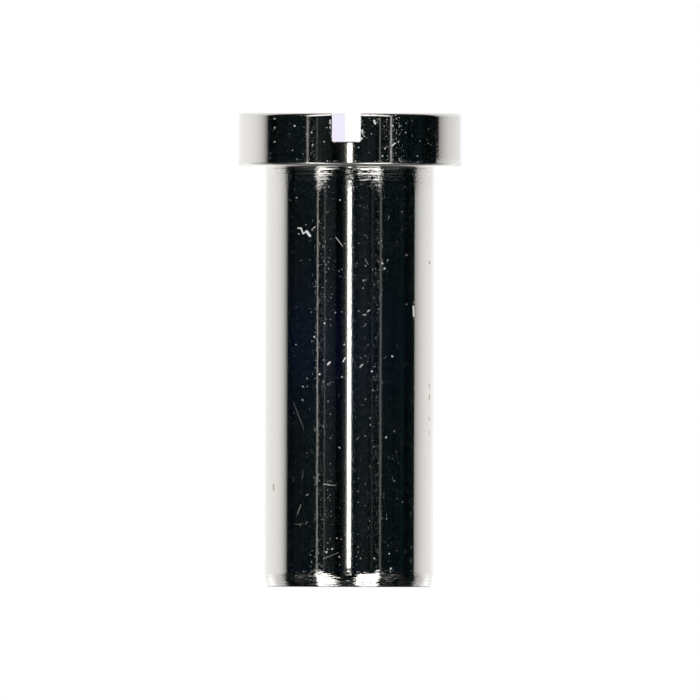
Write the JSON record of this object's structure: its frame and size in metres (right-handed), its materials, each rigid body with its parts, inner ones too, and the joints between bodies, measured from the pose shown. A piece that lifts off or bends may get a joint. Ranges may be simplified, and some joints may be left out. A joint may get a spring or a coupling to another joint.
{
  "type": "watch case screw",
  "caption": "Polished steel watch case screw with a slotted cheese head and a plain round shank, bored and tapped from its rounded tip to take a matching screw.",
  "frame": {"origin": "centre of the flat tip face, on which the screw stands", "axes": "+Z along the screw's axis from the tip to the head, +Y along the driver slot, +X across it"},
  "size_m": [0.0026, 0.0026, 0.0056],
  "materials": {
    "polished_steel": "polished, with fine turning marks under the head and at the tip"
  },
  "bodies": {
    "root": {"case_screw": "polished_steel"}
  },
  "joints": []
}
